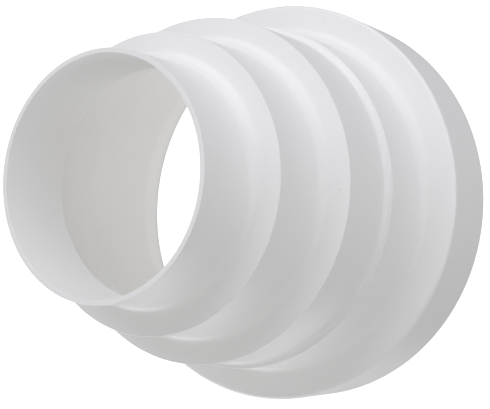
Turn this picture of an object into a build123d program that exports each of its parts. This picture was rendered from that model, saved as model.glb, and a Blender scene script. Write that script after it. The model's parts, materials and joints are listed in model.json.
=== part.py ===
"""Stepped round duct reducer: five push-in spigots in one thin-walled plastic moulding.

Millimetres. The part stands on the rim of its large end, which is Z = 0, and +Z runs along
the duct axis to the small end. Spigots and shoulders are named from the small end down.
"""
import os

from build123d import *

# Bores of the ducts that the spigots push into
first_duct_bore = 80.0
second_duct_bore = 100.0
third_duct_bore = 120.0
fourth_duct_bore = 125.0
fifth_duct_bore = 150.0

# A spigot is this much narrower than its duct, across the diameter
slip_clearance = 1.0

# Lengths of the spigots, each with the shoulder that closes in its upper end
first_spigot_length = 26.0
second_spigot_length = 26.0
third_spigot_length = 25.5
fourth_spigot_length = 24.0
fifth_spigot_length = 26.5

# One wall thickness runs through spigots and shoulders
wall = 1.6

# The shoulders' outer edges are broken by a small flat, and the large one is rounded
edge_break = 0.4
large_edge_round = 1.4

# An edge treatment takes at most this share of its shoulder
widest_edge_share = 0.45

spigots = [
    (first_duct_bore, first_spigot_length),
    (second_duct_bore, second_spigot_length),
    (third_duct_bore, third_spigot_length),
    (fourth_duct_bore, fourth_spigot_length),
    (fifth_duct_bore, fifth_spigot_length),
]

# Section of the wall as (radius, level), down its outer face and down its inner face
radii = [(bore - slip_clearance) / 2 for bore, _ in spigots]
level = sum(length for _, length in spigots)
outer_face = [(radii[0], level)]
inner_face = [(radii[0] - wall, level)]
shoulder_edges = []
for upper, lower, (_, length) in zip(radii, radii[1:], spigots):
    level -= length
    inner_level = level - wall if lower > upper else level + wall
    outer_face += [(upper, level), (lower, level)]
    inner_face += [(upper - wall, inner_level), (lower - wall, inner_level)]
    shoulder_edges.append(((max(upper, lower), level), widest_edge_share * abs(lower - upper)))
outer_face.append((radii[-1], 0))
inner_face.append((radii[-1] - wall, 0))

with BuildPart() as reducer_body:
    with BuildSketch(Plane.XZ) as section:
        with BuildLine():
            Polyline(*outer_face, *reversed(inner_face), close=True)
        make_face()
        *small_edges, large_edge = shoulder_edges
        for corner, widest in small_edges:
            chamfer(section.vertices().sort_by_distance(corner)[0], min(edge_break, widest))
        corner, widest = large_edge
        fillet(section.vertices().sort_by_distance(corner)[0], min(large_edge_round, widest))
    revolve(axis=Axis.Z)

os.makedirs("parts", exist_ok=True)
export_step(reducer_body.part, "parts/reducer_body.step")
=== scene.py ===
import json
import math

import bpy
from mathutils import Matrix, Vector


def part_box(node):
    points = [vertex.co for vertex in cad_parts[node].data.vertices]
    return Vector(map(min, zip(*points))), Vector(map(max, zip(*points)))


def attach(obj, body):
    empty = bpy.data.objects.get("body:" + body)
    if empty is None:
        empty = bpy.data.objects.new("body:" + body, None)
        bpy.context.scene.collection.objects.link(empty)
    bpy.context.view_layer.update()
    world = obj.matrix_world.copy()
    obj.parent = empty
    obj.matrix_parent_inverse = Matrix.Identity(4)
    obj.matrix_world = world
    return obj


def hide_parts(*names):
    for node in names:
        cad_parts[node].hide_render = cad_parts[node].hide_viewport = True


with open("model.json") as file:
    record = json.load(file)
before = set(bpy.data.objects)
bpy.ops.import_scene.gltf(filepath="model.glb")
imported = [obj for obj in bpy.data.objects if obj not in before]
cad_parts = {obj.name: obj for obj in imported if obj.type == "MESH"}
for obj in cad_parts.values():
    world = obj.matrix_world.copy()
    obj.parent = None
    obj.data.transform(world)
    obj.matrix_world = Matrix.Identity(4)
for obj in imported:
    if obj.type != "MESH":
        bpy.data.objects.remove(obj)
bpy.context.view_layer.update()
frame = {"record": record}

# The reducer: five round push-in spigots and the flat shoulders between them, in one thin wall of white
# plastic. It is injection moulded in a polished mould, which leaves crisp outer edges and soft rounds in
# the roots, and it stands on the rim of its large end.
millimetre = 0.001
mounts = {mount["name"]: mount for mount in frame["record"]["mounts"]}
spigots = [mount for mount in mounts.values() if mount["kind"] == "pin"]
spigot_radii = [spigot["dims"]["r_mm"] * millimetre for spigot in spigots]
spigot_feet = [spigot["pos_m"][2] - spigot["dims"]["length_mm"] * millimetre / 2 for spigot in spigots]
small_bore_radius = mounts["small_end_bore"]["dims"]["r_mm"] * millimetre
wall = spigot_radii[0] - small_bore_radius
body_low, body_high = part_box("reducer_body")
rim_round = 0.15 * millimetre
root_round = 4.0 * millimetre
narrow_root_round = 1.8 * millimetre
edge_round = 0.2 * millimetre
large_edge_round = 1.4 * millimetre
root_rounds = [root_round, root_round, narrow_root_round, root_round]
edge_rounds = [edge_round, edge_round, edge_round, large_edge_round]
inner_root_round = 0.8 * millimetre
inner_edge_round = 0.8 * millimetre
facets_round_the_axis = 320
facets_in_a_round = 8


def wall_section():
    """Corners of the wall as (radius, level, round), down its outer face and up its inner face."""
    top, bottom = body_high.z, body_low.z
    outer = [(spigot_radii[0], top, rim_round)]
    inner = [(spigot_radii[0] - wall, top, rim_round)]
    shoulders = zip(spigot_radii, spigot_radii[1:], spigot_feet, root_rounds, edge_rounds)
    for upper_radius, lower_radius, level, root, edge in shoulders:
        underside = level - wall
        outer.append((upper_radius, level, root))
        outer.append((lower_radius, level, edge))
        inner.append((upper_radius - wall, underside, inner_edge_round))
        inner.append((lower_radius - wall, underside, inner_root_round))
    outer.append((spigot_radii[-1], bottom, rim_round))
    inner.append((spigot_radii[-1] - wall, bottom, rim_round))
    return outer + inner[::-1]


def rounded(corners):
    """Points and outward normals, as (radius, level) vectors, of a square-cornered outline after its
    corners are rounded."""
    points, normals = [], []
    places = [Vector(corner[:2]) for corner in corners]
    for index, (place, corner) in enumerate(zip(places, corners)):
        radius = corner[2]
        back = (places[index - 1] - place).normalized()
        onward = (places[(index + 1) % len(places)] - place).normalized()
        centre = place + (back + onward) * radius
        for step in range(facets_in_a_round + 1):
            turn = math.pi / 2 * step / facets_in_a_round
            points.append(centre - (onward * math.cos(turn) + back * math.sin(turn)) * radius)
            along = onward * math.sin(turn) - back * math.cos(turn)
            normals.append(Vector((-along.y, along.x)))
    return points, normals


def turned(name, points, normals):
    """A closed mesh made by turning an outline round the Z axis, shaded by the outline's own normals."""
    turns = [2 * math.pi * step / facets_round_the_axis for step in range(facets_round_the_axis)]

    def swept(pairs):
        return [(x * math.cos(turn), x * math.sin(turn), y) for turn in turns for x, y in pairs]

    count = len(points)
    faces = []
    for column in range(facets_round_the_axis):
        here = column * count
        there = (column + 1) % facets_round_the_axis * count
        for row in range(count):
            below = (row + 1) % count
            faces.append((here + row, here + below, there + below, there + row))
    mesh = bpy.data.meshes.new(name)
    mesh.from_pydata(swept(points), [], faces)
    mesh.shade_smooth()
    mesh.normals_split_custom_set_from_vertices(swept(normals))
    made = bpy.data.objects.new(name, mesh)
    bpy.context.scene.collection.objects.link(made)
    return made


class Wire:
    """An output socket of a node tree. Arithmetic on wires adds Math nodes to the same tree."""

    def __init__(self, tree, socket=None):
        self.tree = tree
        self.socket = socket

    def node(self, kind, settings, inputs, output=0):
        """Add a node: its settings first, then the value or link of each socket."""
        made = self.tree.nodes.new(kind)
        for setting, value in settings.items():
            setattr(made, setting, value)
        for key, value in inputs.items():
            if isinstance(value, Wire):
                self.tree.links.new(value.socket, made.inputs[key])
            else:
                made.inputs[key].default_value = value
        return Wire(self.tree, made.outputs[output])

    def feed(self, shader, key):
        """Link this wire to a socket of a shader."""
        self.tree.links.new(self.socket, shader.inputs[key])

    def maths(self, operation, first, second):
        return self.node("ShaderNodeMath", {"operation": operation}, {0: first, 1: second})

    def __add__(self, other):
        return self.maths("ADD", self, other)

    def __radd__(self, other):
        return self.maths("ADD", other, self)

    def __sub__(self, other):
        return self.maths("SUBTRACT", self, other)

    def __rsub__(self, other):
        return self.maths("SUBTRACT", other, self)

    def __mul__(self, other):
        return self.maths("MULTIPLY", self, other)

    def __rmul__(self, other):
        return self.maths("MULTIPLY", other, self)


plastic_white = (0.93, 0.93, 0.93, 1)
plastic_white_shaded = (0.92, 0.92, 0.92, 1)
plastic_roughness = 0.35
clouds_per_metre = 22
cloud_roughness = 0.08
rings_per_metre = 1100
ring_roughness = 0.04
ring_waver = 0.8 * millimetre
ring_depth = 0.0006 * millimetre
peel_per_metre = 900
peel_depth = 0.001 * millimetre
specks_per_metre = 70
speck_core = 0.012
speck_edge = 0.03
speck_strength = 0.5
speck_depth = 0.01 * millimetre
speck_grey = (0.62, 0.61, 0.6, 1)
noise_middle = 0.5


def moulded_white_plastic():
    """Satin white plastic: cloudy tone from the melt's flow, rings from the mould's polishing, a fine
    orange peel and a few specks of burnt resin."""
    material = bpy.data.materials.new("moulded_white_plastic")
    material.use_nodes = True
    shader = material.node_tree.nodes["Principled BSDF"]
    place = Wire(material.node_tree).node("ShaderNodeTexCoord", {}, {}, "Object")

    clouds = place.node("ShaderNodeTexNoise", {},
                        {"Vector": place, "Scale": clouds_per_metre, "Detail": 3, "Roughness": 0.5})
    x = place.node("ShaderNodeSeparateXYZ", {}, {"Vector": place}, "X")
    y = place.node("ShaderNodeSeparateXYZ", {}, {"Vector": place}, "Y")
    z = place.node("ShaderNodeSeparateXYZ", {}, {"Vector": place}, "Z")
    across = place.node("ShaderNodeCombineXYZ", {}, {"X": x, "Y": y})
    radius = place.node("ShaderNodeVectorMath", {"operation": "LENGTH"}, {0: across}, "Value")
    ring_place = place.node("ShaderNodeCombineXYZ", {}, {"X": radius, "Y": z, "Z": clouds * ring_waver})
    rings = place.node("ShaderNodeTexNoise", {},
                       {"Vector": ring_place, "Scale": rings_per_metre, "Detail": 2})
    peel = place.node("ShaderNodeTexNoise", {},
                      {"Vector": place, "Scale": peel_per_metre, "Detail": 2})
    speck_distance = place.node("ShaderNodeTexVoronoi", {},
                                {"Vector": place, "Scale": specks_per_metre}, "Distance")
    specks = place.node("ShaderNodeMapRange", {"interpolation_type": "SMOOTHSTEP"},
                        {"Value": speck_distance, "From Min": speck_core, "From Max": speck_edge,
                         "To Min": 1, "To Max": 0})

    clean_tone = place.node("ShaderNodeMix", {"data_type": "RGBA"},
                            {"Factor": clouds, 6: plastic_white_shaded, 7: plastic_white}, 2)
    tone = place.node("ShaderNodeMix", {"data_type": "RGBA"},
                      {"Factor": specks * speck_strength, 6: clean_tone, 7: speck_grey}, 2)
    tone.feed(shader, "Base Color")
    roughness = (plastic_roughness + (clouds - noise_middle) * cloud_roughness
                 + (rings - noise_middle) * ring_roughness)
    roughness.feed(shader, "Roughness")
    height = rings * ring_depth + peel * peel_depth - specks * speck_depth
    bump = place.node("ShaderNodeBump", {}, {"Height": height, "Distance": 1, "Strength": 1})
    bump.feed(shader, "Normal")
    return material


reducer = turned("duct_reducer", *rounded(wall_section()))
reducer.data.materials.append(moulded_white_plastic())
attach(reducer, "root")
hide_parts("reducer_body")

# The floor: a plain pale sheet, far wider than the part, lit through from below as a light table is.
# It glows evenly, and it neither shades the part nor throws light back on it.
floor_half = 6.0
floor_white = (0.9, 0.9, 0.9, 1)
floor_roughness = 0.9
floor_glow_white = (1, 1, 1, 1)
floor_glow = 0.95
floor_mesh = bpy.data.meshes.new("floor")
floor_corners = [(-floor_half, -floor_half), (floor_half, -floor_half),
                 (floor_half, floor_half), (-floor_half, floor_half)]
floor_mesh.from_pydata([(x, y, body_low.z) for x, y in floor_corners], [], [(0, 1, 2, 3)])
floor = bpy.data.objects.new("floor", floor_mesh)
bpy.context.scene.collection.objects.link(floor)
floor_sheet = bpy.data.materials.new("pale_floor_sheet")
floor_sheet.use_nodes = True
floor_shader = floor_sheet.node_tree.nodes["Principled BSDF"]
floor_shader.inputs["Base Color"].default_value = floor_white
floor_shader.inputs["Roughness"].default_value = floor_roughness
floor_shader.inputs["Specular IOR Level"].default_value = 0
floor_shader.inputs["Emission Color"].default_value = floor_glow_white
floor_shader.inputs["Emission Strength"].default_value = floor_glow
floor_mesh.materials.append(floor_sheet)
floor.visible_diffuse = False
floor.visible_glossy = False
floor.visible_transmission = False
floor.visible_shadow = False

# The light: round softboxes about the part, each aimed at its middle, in a pale room, and the glow of the
# light table in the mouth of the large end, which lights the inside. Those above and to the right are a
# little cool, and the one in front and the glow a little warm.
softbox_distance = 1.2
softbox_aim = Vector((0, 0, 0.06))
white = (1, 1, 1)
cool_white = (0.93, 0.93, 1)
warm_white = (1, 0.97, 0.91)
# name, azimuth and elevation in degrees, width in metres, power in watts, colour
softboxes = [
    ("top", 18, 50, 1.2, 6.1, cool_white),
    ("right", 336, 15, 0.8, 1.6, cool_white),
    ("right_low", 312, -17, 0.8, 0.7, cool_white),
    ("front_right", 285, 8, 0.6, 1.3, cool_white),
    ("front", 264, 50, 0.6, 1.6, warm_white),
    ("left", 148, 0, 0.8, 5.8, white),
    ("left_low", 182, -40, 0.9, 1.6, white),
]
glow_width = 2 * (spigot_radii[-1] - wall) - millimetre
glow_place = Vector((0, 0, body_low.z + millimetre / 2))
glow_power = 0.0168


def round_lamp(name, width, power, colour, place, aim):
    """A round light that shines from its place towards its aim and isn't seen itself."""
    lamp = bpy.data.lights.new(name, "AREA")
    lamp.shape = "DISK"
    lamp.size = width
    lamp.energy = power
    lamp.color = colour
    holder = bpy.data.objects.new(name, lamp)
    holder.location = place
    holder.rotation_euler = (aim - place).to_track_quat("-Z", "Y").to_euler()
    holder.visible_camera = False
    bpy.context.scene.collection.objects.link(holder)


for name, azimuth, elevation, width, power, colour in softboxes:
    turn, rise = math.radians(azimuth), math.radians(elevation)
    towards = Vector((math.cos(turn) * math.cos(rise), math.sin(turn) * math.cos(rise), math.sin(rise)))
    place = softbox_aim + towards * softbox_distance
    round_lamp("softbox_" + name, width, power, colour, place, softbox_aim)
round_lamp("glow_in_mouth", glow_width, glow_power, warm_white, glow_place, softbox_aim)

room_white = (1, 1, 1, 1)
room_strength = 0.37
room_seen_strength = 1.0
room = bpy.data.worlds.new("room")
room.use_nodes = True
bpy.context.scene.world = room
room_light = room.node_tree.nodes["Background"]
room_light.inputs["Color"].default_value = room_white
seen = Wire(room.node_tree).node("ShaderNodeLightPath", {}, {}, "Is Camera Ray")
strength = room_strength + seen * (room_seen_strength - room_strength)
strength.feed(room_light, "Strength")

# The camera: it looks down into the small end at the photograph's angle, turned on its side,
# so that the duct's axis lies across the picture.
camera_aim = Vector((-0.0028, 0, 0.0436))
view_elevation = math.radians(57.18)
view_distance = 0.4257
camera_roll = math.radians(-82.43)
focal_length_px = 1164.3
picture_width_px = 490
sensor_width_mm = 36
nearest_seen = 0.01
camera = bpy.data.objects.new("camera", bpy.data.cameras.new("camera"))
camera.data.sensor_width = sensor_width_mm
camera.data.lens = focal_length_px * sensor_width_mm / picture_width_px
camera.data.clip_start = nearest_seen
towards = Vector((0, -math.cos(view_elevation), math.sin(view_elevation)))
stand = Matrix.Translation(camera_aim + towards * view_distance)
look = (-towards).to_track_quat("-Z", "Y").to_matrix().to_4x4()
camera.matrix_world = stand @ look @ Matrix.Rotation(camera_roll, 4, "Z")
bpy.context.scene.collection.objects.link(camera)
bpy.context.scene.camera = camera
bpy.context.scene.view_settings.view_transform = "Standard"
